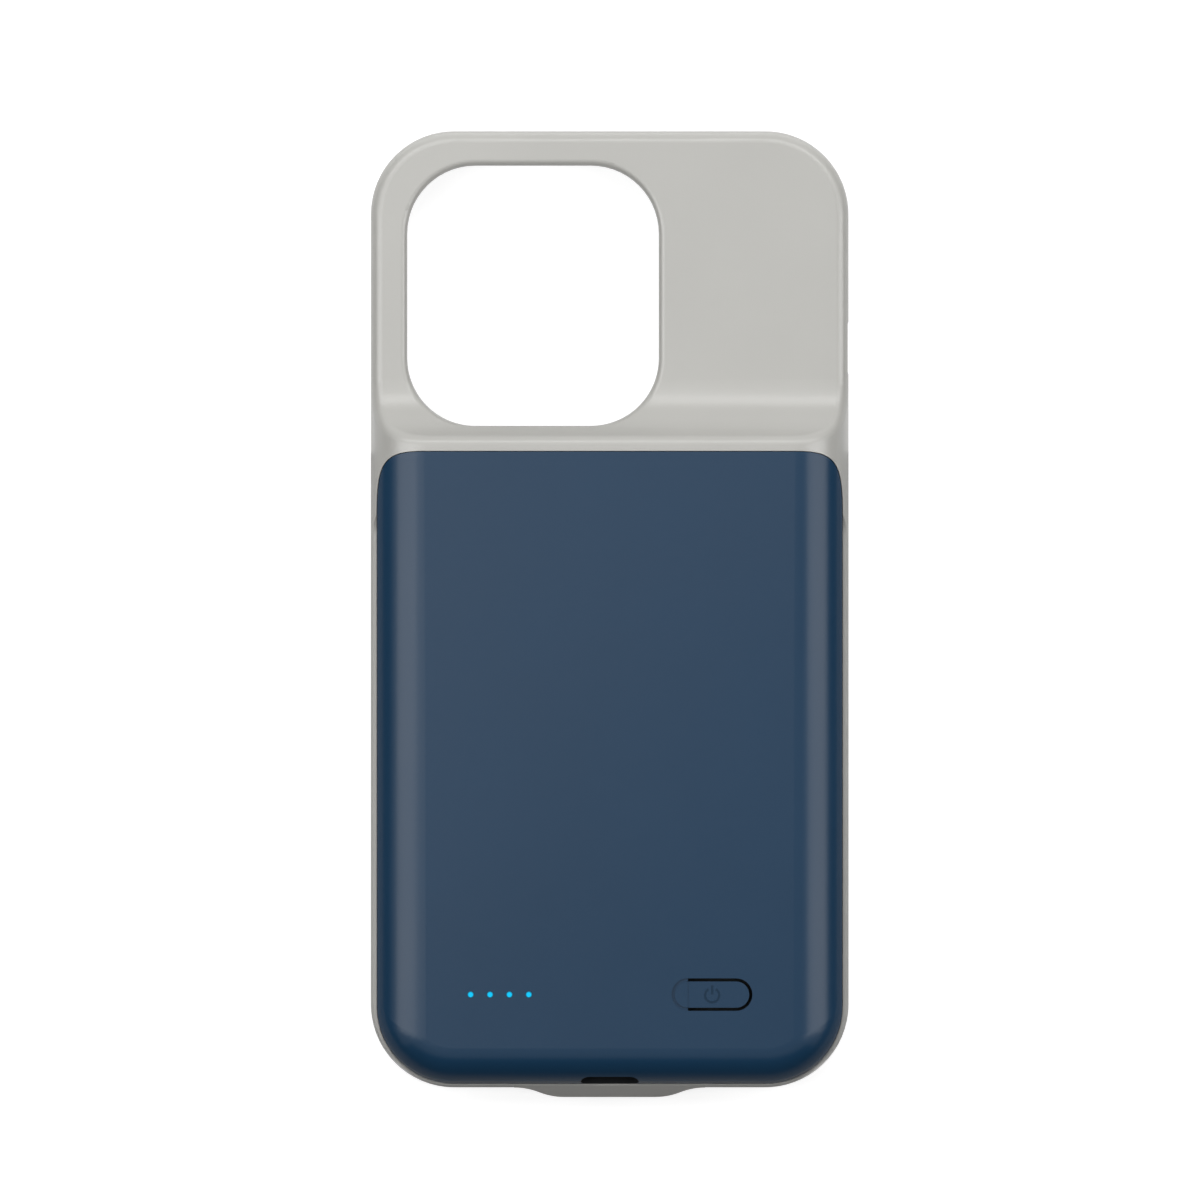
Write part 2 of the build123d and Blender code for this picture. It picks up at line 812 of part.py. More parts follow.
def make_ribbon_socket():
    """Connector under the main board that takes the ribbon's end."""
    y = port_back_y + socket_behind_port + socket_length / 2
    return block(0, y, board_low - socket_height, socket_width, socket_length, socket_height)


nodes = {
    "phone_frame": make_phone_frame(),
    "battery_cover": make_battery_cover(),
    "power_button": make_power_button(),
    "inner_tray": make_inner_tray(),
    "tray_screws": make_tray_screws(),
    "battery_cell": make_battery_cell(),
    "cell_tape": make_cell_tape(),
    "protection_board": make_protection_board(),
    "positive_lead": make_lead(lead_x),
    "negative_lead": make_lead(lead_x + lead_spacing),
    "main_board": make_main_board(),
    "port_shell": make_port_shell(),
    "port_tongue": make_port_tongue(),
    "controller_chip": make_controller_chip(),
    "boost_inductor": make_boost_inductor(),
    "board_capacitors": make_board_capacitors(),
    "indicator_leds": make_indicator_leds(),
    "light_guide": make_light_guide(),
    "switch_body": make_switch_body(),
    "switch_plunger": make_switch_plunger(),
    "phone_plug": make_phone_plug(),
    "plug_core": make_plug_core(),
    "plug_board": make_plug_board(),
    "ribbon_cable": make_ribbon_cable(),
    "ribbon_socket": make_ribbon_socket(),
}

os.makedirs("parts", exist_ok=True)
for name, shape in nodes.items():
    export_step(shape, f"parts/{name}.step")
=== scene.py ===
"""Looks of a battery charging case, lying on its front lip with its back up, seen straight from above."""

import math

import bmesh
import bpy
from bpy.props import FloatProperty, FloatVectorProperty, IntProperty, PointerProperty
from mathutils import Matrix, Vector


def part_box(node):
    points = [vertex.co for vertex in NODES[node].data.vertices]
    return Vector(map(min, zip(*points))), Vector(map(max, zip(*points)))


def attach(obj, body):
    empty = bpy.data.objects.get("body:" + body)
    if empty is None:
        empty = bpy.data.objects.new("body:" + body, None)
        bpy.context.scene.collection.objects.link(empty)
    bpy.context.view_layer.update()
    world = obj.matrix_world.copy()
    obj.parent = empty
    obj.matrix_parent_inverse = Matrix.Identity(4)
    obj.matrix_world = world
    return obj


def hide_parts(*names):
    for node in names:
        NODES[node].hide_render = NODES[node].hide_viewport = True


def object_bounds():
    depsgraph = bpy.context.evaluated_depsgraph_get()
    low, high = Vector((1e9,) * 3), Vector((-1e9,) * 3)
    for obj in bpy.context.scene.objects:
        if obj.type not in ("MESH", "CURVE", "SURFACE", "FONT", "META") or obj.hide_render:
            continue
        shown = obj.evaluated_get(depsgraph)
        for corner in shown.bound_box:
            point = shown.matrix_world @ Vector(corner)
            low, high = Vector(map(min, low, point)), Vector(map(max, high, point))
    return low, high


bl_info = {
    "name": "Battery charging case",
    "version": (1, 0, 0),
    "blender": (4, 5, 0),
    "location": "View3D > Sidebar > Charging case",
    "description": "Finishes, fine pieces and studio stage of a battery charging case",
    "category": "Object",
}

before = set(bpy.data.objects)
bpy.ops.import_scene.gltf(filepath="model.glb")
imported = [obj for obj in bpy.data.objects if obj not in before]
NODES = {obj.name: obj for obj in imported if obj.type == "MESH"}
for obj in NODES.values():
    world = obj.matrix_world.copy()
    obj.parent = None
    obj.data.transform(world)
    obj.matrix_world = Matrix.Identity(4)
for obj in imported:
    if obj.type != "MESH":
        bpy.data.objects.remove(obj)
CAD_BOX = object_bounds()
BACK = CAD_BOX[1].z
MM = 0.001

# How far the clouds in a moulded skin change its colour and its roughness
CLOUD_TINT = 0.05
CLOUD_SHEEN = 0.08
# How far the drawn lines in a metal change its roughness
LINE_SHEEN = 0.2
# Steps in a turn of a screw, and along the ring of the power sign
TURN_STEPS = 40
# Watts for each square metre of a lamp that give it a radiance of 1
WATTS_FOR_RADIANCE = 4

# Lamps: name, place, point that it is turned to, width and height, and the property that holds its radiance
CASE_MIDDLE = (0, 0, BACK / 2)
LAMPS = (
    ("top_panel", (-0.09, 0.13, 0.6), CASE_MIDDLE, (0.42, 0.38), "top_level"),
    ("inner_glow", (-0.14, -0.02, 0.6), CASE_MIDDLE, (0.27, 0.14), "inner_level"),
    ("left_strip", (-0.405, -0.02, 0.51), CASE_MIDDLE, (0.27, 0.43), "left_level"),
    ("right_strip", (0.435, -0.02, 0.41), CASE_MIDDLE, (0.27, 0.4), "right_level"),
    ("rear_strip", (0, 0.42, 0.54), CASE_MIDDLE, (0.6, 0.14), "rear_level"),
    ("corner_lamp", (-0.34, 0.32, 0.5), CASE_MIDDLE, (0.2, 0.2), "corner_level"),
    ("corner_lamp", (0.34, 0.32, 0.5), CASE_MIDDLE, (0.2, 0.2), "corner_level"),
    ("horizon_panel", (0, 0.7, 0.2), CASE_MIDDLE, (1.0, 0.34), "horizon_level"),
    ("low_bounce", (0, 0.25, 0.001), (0, 0.25, 1.0), (0.3, 0.3), "bounce_level"),
)

# Upright dark cards at the left, the right and the front: both ends of the foot, and the height
CARD_FRONT = -0.45
CARDS = (
    ((-0.5, -0.6), (-0.5, 0.6), 0.2),
    ((0.5, 0.6), (0.5, -0.6), 0.2),
    ((-0.6, CARD_FRONT), (0.6, CARD_FRONT), 0.6),
)


# Properties
def colour(name, default, description):
    """Colour property with its default as linear red, green and blue."""
    return FloatVectorProperty(
        name=name, description=description, subtype="COLOR", size=3, min=0, max=1, default=default
    )


def length(name, default, description):
    """Length property, with its default in metres."""
    return FloatProperty(
        name=name, description=description, subtype="DISTANCE", unit="LENGTH", precision=5, default=default
    )


def factor(name, default, description, top=1.0):
    """Plain number from 0 up to a top value."""
    return FloatProperty(name=name, description=description, min=0, max=top, default=default)


class CaseColours(bpy.types.PropertyGroup):
    """Colours of the mouldings, the lights, the parts inside and the stage."""

    frame_grey: colour("Frame", (0.338, 0.334, 0.316), "Soft grey outer frame")
    cover_navy: colour("Cover", (0.007, 0.0295, 0.064), "Navy cover over the battery")
    sign_navy: colour("Sign", (0.003, 0.018, 0.04), "Tone-on-tone power sign")
    light_cyan: colour("Lights", (0.0, 0.57, 0.97), "Lit charge dots")
    # Painted shade: near-black colour that stands in for the shade inside the charge slot's recess
    slot_painted_shade: colour("Lining", (0.002, 0.003, 0.004), "Dark lining of the charge slot")
    tray_charcoal: colour("Tray", (0.045, 0.045, 0.05), "Inner tray")
    foil: colour("Cell foil", (0.6, 0.61, 0.62), "Laminate foil of the pouch cell")
    tape_cream: colour("Tape", (0.68, 0.66, 0.58), "Tape under the cell")
    lead_red: colour("Positive lead", (0.42, 0.012, 0.012), "Insulation of the positive lead")
    lead_black: colour("Negative lead", (0.012, 0.012, 0.013), "Insulation of the negative lead")
    board_black: colour("Boards", (0.005, 0.007, 0.008), "Black solder mask")
    moulding_black: colour("Black mouldings", (0.008, 0.009, 0.01), "Chip, switch and connector cores")
    ferrite: colour("Inductor", (0.06, 0.06, 0.064), "Pressed powder of the inductor")
    ceramic: colour("Capacitors", (0.34, 0.22, 0.12), "Fired body of the capacitors")
    ceramic_ends: colour("Capacitor ends", (0.7, 0.69, 0.66), "Tinned ends of the capacitors")
    lamp_window: colour("Light windows", (0.85, 0.74, 0.3), "Windows of the small lights")
    lamp_body: colour("Light bodies", (0.82, 0.81, 0.78), "Bodies of the small lights")
    film_amber: colour("Ribbon", (0.36, 0.16, 0.03), "Film of the ribbon cable")
    film_copper: colour("Ribbon copper", (0.52, 0.26, 0.07), "Conductors under the film")
    socket_ivory: colour("Ribbon socket", (0.62, 0.57, 0.46), "Ivory moulding of the ribbon's socket")
    steel: colour("Steel", (0.6, 0.6, 0.61), "Stamped plug shell and screws")
    dark_steel: colour("Dark steel", (0.03, 0.03, 0.033), "Black-plated socket shell")
    gold: colour("Contacts", (0.83, 0.58, 0.22), "Plated contacts")
    pad_tin: colour("Pads", (0.66, 0.65, 0.62), "Tinned pads of the chip")
    floor_white: colour("Floor", (0.4, 0.4, 0.4), "Pale studio floor")
    flag_black: colour("Flags", (0.015, 0.015, 0.016), "Dark cards that keep the case's edges deep")
    mat_grey: colour("Mat", (0.43, 0.43, 0.43), "Grey mat on the floor before the bottom end")
    side_grey: colour("Side mats", (0.52, 0.52, 0.52), "Pale mats on the floor at both sides of the cover")


class CaseFinish(bpy.types.PropertyGroup):
    """Roughness and grain of the mouldings."""

    frame_roughness: factor("Frame roughness", 0.3, "Sheen of the soft frame")
    cover_roughness: factor("Cover roughness", 0.25, "Sheen of the satin cover")
    # Dull finish that goes with the painted shade inside the charge slot
    slot_shade_roughness: factor("Lining roughness", 0.9, "Sheen of the charge slot's lining")
    frame_ior: factor("Frame index", 1.52, "Refractive index of the frame's skin", 2.0)
    cover_ior: factor("Cover index", 1.3, "Refractive index of the cover's skin", 2.0)
    sign_ior: factor("Sign index", 1.24, "Refractive index of the sign's print", 2.0)
    guide_ior: factor("Guide index", 1.2, "Refractive index of the lit dots' skin", 2.0)
    grain_cell: length("Grain", 0.16 * MM, "Size of the moulded grain")
    frame_grain_depth: length("Frame grain depth", 0.006 * MM, "Height of the grain on the frame")
    cover_grain_depth: length("Cover grain depth", 0.0025 * MM, "Height of the grain on the cover")
    cloud_cell: length("Cloud", 26 * MM, "Size of the faint clouds in colour and sheen")


class CaseDetails(bpy.types.PropertyGroup):
    """Sizes of the fine pieces that stand on the solids, and of what is drawn on them."""

    sign_x: length("Sign place", 16.25 * MM, "Sign's place across the case")
    sign_drop: length("Sign drop", 0.1 * MM, "How far the sign lies below the button's middle")
    sign_radius: length("Sign radius", 1.12 * MM, "Middle radius of the power sign's ring")
    sign_stroke: length("Sign stroke", 0.36 * MM, "Width of the power sign's lines")
    sign_height: length("Sign height", 0.02 * MM, "Thickness of the power sign's print")
    dot_core: length("Dot core", 0.3 * MM, "Radius inside which a charge dot is fully lit")
    dot_edge: length("Dot edge", 0.47 * MM, "Radius at which a charge dot's light has faded")
    contact_count: IntProperty(name="Contacts", description="Contacts in a row of a connector", default=12)
    contact_pitch: length("Contact pitch", 0.5 * MM, "Distance between contacts")
    contact_long: length("Contact length", 3.4 * MM, "Length of a contact")
    contact_thick: length("Contact thickness", 0.04 * MM, "Thickness of a contact")
    pad_count: IntProperty(name="Pads", description="Pads along a side of the chip", default=8)
    pad_pitch: length("Pad pitch", 0.5 * MM, "Distance between the chip's pads")
    pad_width: length("Pad width", 0.25 * MM, "Width of a pad")
    pad_long: length("Pad length", 0.5 * MM, "Length of a pad, half of it under the chip")
    pad_thick: length("Pad thickness", 0.2 * MM, "Thickness of a pad")
    slot_width: length("Slot width", 9.2 * MM, "Width of the charge slot in the cover")
    slot_height: length("Slot height", 2.7 * MM, "Height of the charge slot in the cover")
    # How far the painted shade inside the charge slot reaches past the slot's wall
    slot_shade_margin: length("Lining margin", 0.02 * MM, "How far the lining reaches past the slot's wall")
    drive_width: length("Drive width", 0.32 * MM, "Width of the cross recess in a screw")
    drive_depth: length("Drive depth", 0.5 * MM, "Depth of the cross recess in a screw")


class CaseStage(bpy.types.PropertyGroup):
    """Camera, lamps, floor and mats."""

    camera_x: length("Camera X", -1.545 * MM, "Camera's place across the case")
    camera_y: length("Camera Y", 2.27 * MM, "Camera's place along the case")
    camera_height: length("Camera height", 3.0, "Camera's height over the floor")
    shoulder_height: length("Shoulder height", 10 * MM, "Height of the case's shoulders")
    view_width: length("View width", 190.9 * MM, "Width that the picture takes in at the case's shoulders")
    top_level: factor("Top panel", 1.16, "Radiance of the panel overhead", 20)
    left_level: factor("Left strip", 3.6, "Radiance of the strip at the left side", 20)
    inner_level: factor("Inner glow", 0.9, "Radiance of the faint strip inside the left one", 20)
    right_level: factor("Right strip", 3.3, "Radiance of the strip at the right side", 20)
    rear_level: factor("Rear strip", 4.8, "Radiance of the strip behind the top end", 20)
    corner_level: factor("Corner lamps", 3.6, "Radiance of the lamps over both top corners", 20)
    horizon_level: factor("Horizon", 0.65, "Radiance of the wide panel far past the top end", 20)
    bounce_level: factor("Bounce", 1.5, "Radiance of the low panel past the top end", 20)
    fill_level: factor("Fill", 0.07, "Level of the surroundings", 5)
    floor_glow: factor("Floor glow", 0.8, "What makes the floor show as white near the case", 5)
    glow_near: length("Glow near", 0.15, "Distance at which the floor's glow starts to rise")
    glow_far: length("Glow far", 0.6, "Distance at which the floor's glow is full")
    floor_half: length("Floor half width", 4.0, "Half the width of the floor")
    floor_drop: length("Floor drop", 0.1 * MM, "Gap between the floor and the front lip")
    mat_reach: length("Mat reach", 0.2, "How far the mats reach to each side")
    mat_lift: length("Mat lift", 0.3 * MM, "Height of the mats over the front lip's plane")


def settings():
    """The scene's four groups of properties."""
    scene = bpy.context.scene
    return scene.case_colours, scene.case_finish, scene.case_details, scene.case_stage


# Node helpers
def add(tree, kind, values=None, **options):
    """Adds a node, sets its options, and sets or links its inputs."""
    made = tree.nodes.new(kind)
    for key, value in options.items():
        setattr(made, key, value)
    for key, value in (values or {}).items():
        if isinstance(value, bpy.types.NodeSocket):
            link(tree, value, made.inputs[key])
        else:
            made.inputs[key].default_value = value
    return made


def link(tree, source, socket):
    """Joins an output to an input."""
    tree.links.new(source, socket)


def maths(tree, operation, *values):
    """Math node, returned as its output."""
    made = add(tree, "ShaderNodeMath", dict(enumerate(values)), operation=operation)
    return made.outputs[0]


def distance(tree, across, along):
    """Distance from a point, from two offsets at a right angle."""
    squares = maths(tree, "ADD", maths(tree, "POWER", across, 2.0), maths(tree, "POWER", along, 2.0))
    return maths(tree, "SQRT", squares)


def ramp(tree, value, low, high, at_low, at_high):
    """Level that runs from one end value to the other as a value runs between two limits."""
    values = {"Value": value, "From Min": low, "From Max": high, "To Min": at_low, "To Max": at_high}
    return add(tree, "ShaderNodeMapRange", values).outputs[0]


def rgba(value):
    """Colour with its alpha, or a socket as it is."""
    return value if isinstance(value, bpy.types.NodeSocket) else (*value[:3], 1.0)


def blend_colours(tree, mask, low, high):
    """Mix of two colours by a mask, returned as its output."""
    made = add(tree, "ShaderNodeMix", {0: mask, 6: rgba(low), 7: rgba(high)}, data_type="RGBA")
    return made.outputs[2]


def shaded(value, share):
    """A colour made lighter or darker."""
    return tuple(min(1.0, channel * share) for channel in value)


def mottled(tree, mask, tint, low, high):
    """One colour, shaded by a low share where the mask is 0 and by a high share where it is 1."""
    return blend_colours(tree, mask, shaded(tint, low), shaded(tint, high))


def object_place(tree):
    """Place on a piece, in its own coordinates."""
    return add(tree, "ShaderNodeTexCoord").outputs["Object"]


def object_axes(tree):
    """Place on a piece as separate X, Y and Z."""
    return add(tree, "ShaderNodeSeparateXYZ", {"Vector": object_place(tree)}).outputs


def noise(tree, place, scale, detail=2.0):
    """Cloudy mask from 0 to 1."""
    values = {"Vector": place, "Scale": scale, "Detail": detail}
    return add(tree, "ShaderNodeTexNoise", values).outputs["Fac"]


def raise_skin(tree, skin, height, strength, depth):
    """Bumps a skin by a height mask."""
    bump = add(tree, "ShaderNodeBump", {"Height": height, "Strength": strength, "Distance": depth})
    link(tree, bump.outputs[0], skin.inputs["Normal"])


def seen_rays(tree):
    """1 for what the camera, a reflection or a clear part sees, and 0 for scattered light."""
    path = add(tree, "ShaderNodeLightPath").outputs
    mirrored = maths(tree, "MAXIMUM", path["Is Glossy Ray"], path["Is Transmission Ray"])
    return maths(tree, "MAXIMUM", path["Is Camera Ray"], mirrored)


# Shared shader groups
def group_tree(name, inputs, outputs):
    """Empty shader group with named inputs and outputs."""
    tree = bpy.data.node_groups.new(name, "ShaderNodeTree")
    for label, default in inputs:
        socket = tree.interface.new_socket(name=label, in_out="INPUT", socket_type="NodeSocketFloat")
        socket.default_value = default
    for label in outputs:
        tree.interface.new_socket(name=label, in_out="OUTPUT", socket_type="NodeSocketFloat")
    return tree, add(tree, "NodeGroupInput").outputs, add(tree, "NodeGroupOutput").inputs


def grain_group():
    """Spark-eroded grain and faint clouds of a moulded skin."""
    known = bpy.data.node_groups.get("moulded_skin")
    if known:
        return known
    sizes = [("Grain", 0.2 * MM), ("Cloud", 20 * MM)]
    tree, given, out = group_tree("moulded_skin", sizes, ["Height", "Clouds"])
    place = object_place(tree)
    fine_scale = maths(tree, "DIVIDE", 1.0, given["Grain"])
    cloud_scale = maths(tree, "DIVIDE", 1.0, given["Cloud"])
    pits = add(tree, "ShaderNodeTexVoronoi", {"Vector": place, "Scale": fine_scale}, feature="SMOOTH_F1")
    soft = noise(tree, place, fine_scale)
    link(tree, maths(tree, "ADD", pits.outputs["Distance"], soft), out["Height"])
    link(tree, noise(tree, place, cloud_scale, detail=3.0), out["Clouds"])
    return tree


def brushed_group():
    """Fine lines of rolled and stamped metal, drawn along one axis."""
    known = bpy.data.node_groups.get("rolled_metal")
    if known:
        return known
    tree, given, out = group_tree("rolled_metal", [("Line", 0.05 * MM), ("Stretch", 40.0)], ["Lines"])
    axes = object_axes(tree)
    drawn = maths(tree, "DIVIDE", axes["Y"], given["Stretch"])
    stretched = add(tree, "ShaderNodeCombineXYZ", {"X": axes["X"], "Y": drawn, "Z": axes["Z"]}).outputs[0]
    scale = maths(tree, "DIVIDE", 1.0, given["Line"])
    link(tree, noise(tree, stretched, scale, detail=3.0), out["Lines"])
    return tree


def traces_group():
    """Tracks and covered vias that show through a board's solder mask."""
    known = bpy.data.node_groups.get("board_tracks")
    if known:
        return known
    tree, given, out = group_tree("board_tracks", [("Pitch", 1.2 * MM)], ["Tracks", "Vias"])
    place = object_place(tree)
    scale = maths(tree, "DIVIDE", 1.0, given["Pitch"])
    track_density, track_half = 0.35, 0.07
    via_density, via_radius = 0.5, 0.13
    wide = {"Vector": place, "Scale": maths(tree, "MULTIPLY", scale, track_density)}
    cells = add(tree, "ShaderNodeTexVoronoi", wide, feature="DISTANCE_TO_EDGE")
    close = {"Vector": place, "Scale": maths(tree, "MULTIPLY", scale, via_density), "Randomness": 0.8}
    dots = add(tree, "ShaderNodeTexVoronoi", close)
    link(tree, maths(tree, "LESS_THAN", cells.outputs["Distance"], track_half), out["Tracks"])
    link(tree, maths(tree, "LESS_THAN", dots.outputs["Distance"], via_radius), out["Vias"])
    return tree


# Materials
def new_material(name):
    """Empty material with its Principled shader and output."""
    known = bpy.data.materials.get(name)
    if known:
        bpy.data.materials.remove(known)
    made = bpy.data.materials.new(name)
    made.use_nodes = True
    tree = made.node_tree
    tree.nodes.clear()
    skin = add(tree, "ShaderNodeBsdfPrincipled")
    add(tree, "ShaderNodeOutputMaterial", {"Surface": skin.outputs[0]})
    return made, tree, skin


def moulded(name, tint, depth, roughness, ior=1.45, grain=None):
    """Moulded plastic: fine grain, with faint clouds in its colour and sheen."""
    finish = settings()[1]
    made, tree, skin = new_material(name)
    sizes = {"Grain": grain or finish.grain_cell, "Cloud": finish.cloud_cell}
    surface = add(tree, "ShaderNodeGroup", sizes, node_tree=grain_group()).outputs
    clouds = surface["Clouds"]
    base = mottled(tree, clouds, tint, low=1 - CLOUD_TINT, high=1 + CLOUD_TINT)
    rough = maths(tree, "MULTIPLY_ADD", clouds, CLOUD_SHEEN, roughness - CLOUD_SHEEN / 2)
    link(tree, base, skin.inputs["Base Color"])
    link(tree, rough, skin.inputs["Roughness"])
    raise_skin(tree, skin, surface["Height"], strength=1.0, depth=depth)
    skin.inputs["IOR"].default_value = ior
    return made


def paint_slot_shade(tree, tint):
    """Paints shade into the inside of the charge slot: a near-black, dull colour, set by its place in the
    cover, stands in for the recess's shade.
    """
    _, finish, details, _ = settings()
    low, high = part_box("port_shell")
    half = details.slot_height / 2
    flat = details.slot_width / 2 - half
    axes = object_axes(tree)
    up = maths(tree, "SUBTRACT", axes["Z"], (low.z + high.z) / 2)
    past = maths(tree, "MAXIMUM", maths(tree, "SUBTRACT", maths(tree, "ABSOLUTE", axes["X"]), flat), 0.0)
    inside = maths(tree, "LESS_THAN", distance(tree, up, past), half + details.slot_shade_margin)
    mask = maths(tree, "MULTIPLY", inside, maths(tree, "LESS_THAN", axes["Y"], high.y))
    matt = maths(tree, "MULTIPLY", mask, finish.slot_shade_roughness)
    skin = tree.nodes["Principled BSDF"]
    base, rough = skin.inputs["Base Color"], skin.inputs["Roughness"]
    # Mixes the painted shade's near-black colour into the cover inside the slot, and makes it dull there
    link(tree, blend_colours(tree, mask, base.links[0].from_socket, tint), base)
    link(tree, maths(tree, "MAXIMUM", rough.links[0].from_socket, matt), rough)


def metal(name, tint, roughness, line=0.06 * MM):
    """Rolled or plated metal with fine drawn lines."""
    made, tree, skin = new_material(name)
    lines = add(tree, "ShaderNodeGroup", {"Line": line}, node_tree=brushed_group()).outputs["Lines"]
    rough = maths(tree, "MULTIPLY_ADD", lines, LINE_SHEEN, roughness - LINE_SHEEN / 2)
    link(tree, mottled(tree, lines, tint, low=0.85, high=1.1), skin.inputs["Base Color"])
    link(tree, rough, skin.inputs["Roughness"])
    raise_skin(tree, skin, lines, strength=0.4, depth=0.004 * MM)
    skin.inputs["Metallic"].default_value = 1.0
    return made


def solder_mask(name, tint):
    """Board with tracks and covered vias under its black skin."""
    made, tree, skin = new_material(name)
    surface = add(tree, "ShaderNodeGroup", node_tree=traces_group()).outputs
    tracks, vias = surface["Tracks"], surface["Vias"]
    masked = mottled(tree, tracks, tint, low=1.0, high=1.9)
    link(tree, blend_colours(tree, vias, masked, shaded(tint, 2.6)), skin.inputs["Base Color"])
    raise_skin(tree, skin, maths(tree, "MAXIMUM", tracks, vias), strength=0.6, depth=0.03 * MM)
    skin.inputs["Roughness"].default_value = 0.6
    skin.inputs["IOR"].default_value = 1.3
    return made


def foil_skin(name, tint):
    """Laminate foil of a pouch cell, with soft wrinkles."""
    made, tree, skin = new_material(name)
    wrinkles = noise(tree, object_place(tree), scale=160.0, detail=4.0)
    lines = add(tree, "ShaderNodeGroup", node_tree=brushed_group()).outputs["Lines"]
    link(tree, mottled(tree, lines, tint, low=0.9, high=1.08), skin.inputs["Base Color"])
    link(tree, maths(tree, "MULTIPLY_ADD", lines, 0.15, 0.3), skin.inputs["Roughness"])
    raise_skin(tree, skin, wrinkles, strength=0.5, depth=0.2 * MM)
    skin.inputs["Metallic"].default_value = 0.9
    return made


def banded(name, band_tint, end_tint, middle, half, roughness, metal_ends=False):
    """A band across Y with other ends, as on a chip capacitor or round a small light's window."""
    made, tree, skin = new_material(name)
    away = maths(tree, "ABSOLUTE", maths(tree, "SUBTRACT", object_axes(tree)["Y"], middle))
    ends = maths(tree, "GREATER_THAN", away, half)
    specks = noise(tree, object_place(tree), scale=6000.0)
    band = mottled(tree, specks, band_tint, low=0.85, high=1.1)
    link(tree, blend_colours(tree, ends, band, end_tint), skin.inputs["Base Color"])
    if metal_ends:
        link(tree, ends, skin.inputs["Metallic"])
    link(tree, maths(tree, "MULTIPLY_ADD", specks, 0.1, roughness), skin.inputs["Roughness"])
    return made


def striped_film(name, tint, stripe, pitch=0.8 * MM, gap=0.45):
    """Amber film with copper conductors side by side."""
    made, tree, skin = new_material(name)
    phase = maths(tree, "FRACT", maths(tree, "DIVIDE", object_axes(tree)["X"], pitch))
    copper = maths(tree, "GREATER_THAN", phase, gap)
    link(tree, blend_colours(tree, copper, tint, stripe), skin.inputs["Base Color"])
    raise_skin(tree, skin, copper, strength=0.5, depth=0.02 * MM)
    skin.inputs["Roughness"].default_value = 0.3
    return made


def lit_guide(name, tint):
    """Clear guide, brightest at the middle of each peg."""
    _, finish, details, _ = settings()
    made, tree, skin = new_material(name)
    low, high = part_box("light_guide")
    pegs = [centre.x for centre, _ in islands("indicator_leds")]
    pitch = (max(pegs) - min(pegs)) / (len(pegs) - 1)
    axes = object_axes(tree)
    across = maths(tree, "SUBTRACT", axes["X"], min(pegs) - pitch / 2)
    across = maths(tree, "SUBTRACT", maths(tree, "MODULO", across, pitch), pitch / 2)
    along = maths(tree, "SUBTRACT", axes["Y"], (low.y + high.y) / 2)
    lit = ramp(tree, distance(tree, across, along), details.dot_core, details.dot_edge, 1.0, 0.0)
    link(tree, mottled(tree, lit, tint, low=0.2, high=1.0), skin.inputs["Emission Color"])
    link(tree, mottled(tree, lit, tint, low=0.1, high=0.04), skin.inputs["Base Color"])
    skin.inputs["Emission Strength"].default_value = 1.0
    skin.inputs["Roughness"].default_value = 0.3
    skin.inputs["IOR"].default_value = finish.guide_ior
    return made


# Mesh helpers
def islands(node):
    """Middle and size of each loose solid in a node, in order along X, then Y."""
    mesh = bmesh.new()
    mesh.from_mesh(NODES[node].data)
    bmesh.ops.remove_doubles(mesh, verts=mesh.verts, dist=1e-6)
    left = set(mesh.verts)
    found = []
    while left:
        todo = [left.pop()]
        group = list(todo)
        while todo:
            vert = todo.pop()
            near = {edge.other_vert(vert) for edge in vert.link_edges} & left
            left -= near
            todo += near
            group += near
        low = Vector([min(v.co[i] for v in group) for i in range(3)])
        high = Vector([max(v.co[i] for v in group) for i in range(3)])
        found.append(((low + high) / 2, high - low))
    mesh.free()
    return sorted(found, key=lambda pair: tuple(round(c, 5) for c in pair[0]))


def dress(node, material):
    """Gives a CAD node its material."""
    mesh = NODES[node].data
    mesh.materials.clear()
    mesh.materials.append(material)


def piece(name, mesh, body, replaces=()):
    """Puts a finished mesh into the scene, on a body of the case."""
    made = bpy.data.objects.new(name, mesh)
    bpy.context.scene.collection.objects.link(made)
    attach(made, body)
    for node in replaces:
        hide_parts(node)


def plain_mesh(name, shape):
    """Ends the work on a shape and returns it as a mesh."""
    mesh = bpy.data.meshes.new(name)
    shape.to_mesh(mesh)
    shape.free()
    return mesh


def joined(name, meshes):
    """Several meshes with one material as one mesh."""
    whole = bmesh.new()
    for mesh in meshes:
        whole.from_mesh(mesh)
    result = plain_mesh(name, whole)
    result.materials.append(meshes[0].materials[0])
    return result


def geometry_tree(name, inputs):
    """Empty geometry tree with named inputs, and its input and output nodes."""
    known = bpy.data.node_groups.get(name)
    if known:
        bpy.data.node_groups.remove(known)
    tree = bpy.data.node_groups.new(name, "GeometryNodeTree")
    for label, kind in inputs:
        tree.interface.new_socket(name=label, in_out="INPUT", socket_type=kind)
    tree.interface.new_socket(name="Geometry", in_out="OUTPUT", socket_type="NodeSocketGeometry")
    return tree, add(tree, "NodeGroupInput").outputs, add(tree, "NodeGroupOutput")


def hand_out(tree, points, shape, material, out):
    """Sets a shape on points, makes the copies real, and hands them out with their material."""
    copies = add(tree, "GeometryNodeInstanceOnPoints", {"Points": points, "Instance": shape})
    real = add(tree, "GeometryNodeRealizeInstances", {"Geometry": copies.outputs[0]})
    skin = add(tree, "GeometryNodeSetMaterial", {"Geometry": real.outputs[0], "Material": material})
    link(tree, skin.outputs[0], out.inputs[0])


